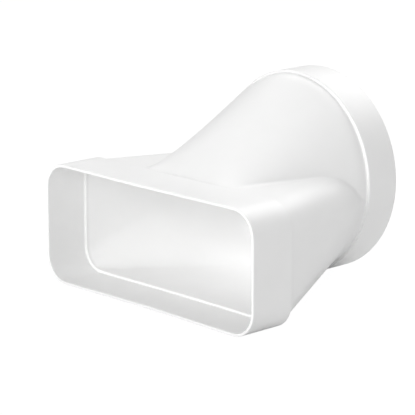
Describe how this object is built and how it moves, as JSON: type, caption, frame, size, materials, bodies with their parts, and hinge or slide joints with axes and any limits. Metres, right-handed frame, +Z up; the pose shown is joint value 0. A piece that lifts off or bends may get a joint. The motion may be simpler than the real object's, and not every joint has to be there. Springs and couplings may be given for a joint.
{
  "type": "round to flat duct adapter",
  "caption": "One-piece white plastic fitting that joins a wide flat duct to a round pipe, with a socket at each end, stop ledges, and undersides level.",
  "frame": {"origin": "on the resting plane, under the middle of the part's box", "axes": "+Y along the duct and out of the round socket, -Y out of the flat mouth, +Z up from the level underside, +X across the flat mouth"},
  "size_m": [0.227, 0.185, 0.159],
  "materials": {
    "body": "satin"
  },
  "bodies": {
    "root": {"adapter_body": "body"}
  },
  "joints": []
}
